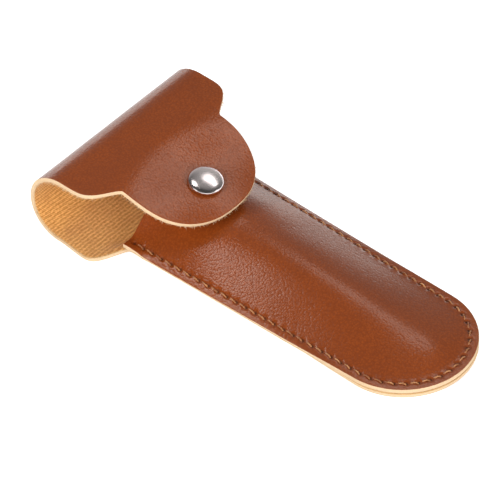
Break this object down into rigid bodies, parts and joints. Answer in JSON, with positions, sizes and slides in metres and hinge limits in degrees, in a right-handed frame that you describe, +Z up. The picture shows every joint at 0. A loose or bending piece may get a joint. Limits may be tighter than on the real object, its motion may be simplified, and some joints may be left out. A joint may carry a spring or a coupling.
{
  "type": "leather grooming sheath",
  "caption": "Leather sheath for a folding comb or razor: moulded pocket sewn along its rim, and a wide flap that curls over the mouth and shuts with a domed snap.",
  "frame": {"origin": "on the table under the middle of the sheath, which lies on its back", "axes": "+X from the fold to the rounded tip, +Y across the sheath, +Z up from the table"},
  "size_m": [0.162, 0.0782, 0.0268],
  "materials": {
    "leather": "brown grain side, slightly glossy, with raw cream edges and a golden brushed inner side",
    "moulded_leather": "brown grain side, slightly glossy, with raw cream edges",
    "needle_thread": "waxed tan thread",
    "bobbin_thread": "waxed brown thread",
    "nickel": "polished nickel plate",
    "spring_steel": "drawn spring wire"
  },
  "bodies": {
    "case": {"back_panel": "leather", "front_panel": "moulded_leather", "needle_thread": "needle_thread", "bobbin_thread": "bobbin_thread", "snap_stud": "nickel", "stud_eyelet": "nickel"},
    "fold_lower": {"fold_strip_lower": "leather"},
    "fold_upper": {"fold_strip_upper": "leather"},
    "flap": {"flap": "leather", "snap_cap": "nickel", "snap_cap_post": "nickel", "snap_socket": "nickel", "socket_spring": "spring_steel"}
  },
  "joints": [
    {"name": "flap_unroll", "type": "hinge", "parent": "case", "child": "fold_lower", "pos_m": [-0.0743, 0, 0.0018], "axis": [0, -1, 0], "range_deg": [0, 50]},
    {"name": "flap_unroll_middle", "type": "hinge", "parent": "fold_lower", "child": "fold_upper", "pos_m": [-0.081, 0, 0.0134], "axis": [0, -1, 0], "range_deg": [0, 50]},
    {"name": "flap_unroll_top", "type": "hinge", "parent": "fold_upper", "child": "flap", "pos_m": [-0.0743, 0, 0.025], "axis": [0, -1, 0], "range_deg": [0, 50]}
  ],
  "couplings": [
    {"joint": "flap_unroll_middle", "follows": "flap_unroll", "ratio": 1},
    {"joint": "flap_unroll_top", "follows": "flap_unroll", "ratio": 1}
  ]
}
